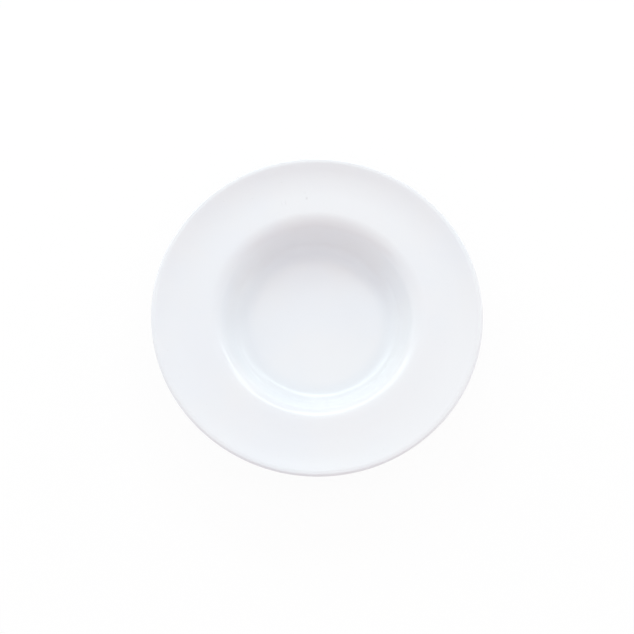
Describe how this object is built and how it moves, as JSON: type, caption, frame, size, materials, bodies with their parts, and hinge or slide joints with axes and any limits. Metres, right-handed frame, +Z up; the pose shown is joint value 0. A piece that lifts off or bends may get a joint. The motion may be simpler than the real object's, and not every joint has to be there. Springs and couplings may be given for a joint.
{
  "type": "rimmed soup plate",
  "caption": "Round rimmed soup plate of glazed white porcelain: a deep round well inside a broad, gently dished rim, standing on a bare foot ring.",
  "frame": {"origin": "centre of the foot ring, on the plane that the plate stands on", "axes": "+Z up along the axis of the plate; the plate is round, so X and Y are any two level directions"},
  "size_m": [0.24, 0.24, 0.0375],
  "materials": {
    "porcelain": "matt, unglazed",
    "glaze": "gloss"
  },
  "bodies": {
    "root": {"porcelain_body": "porcelain", "face_glaze": "glaze", "back_glaze": "glaze", "base_glaze": "glaze"}
  },
  "joints": []
}
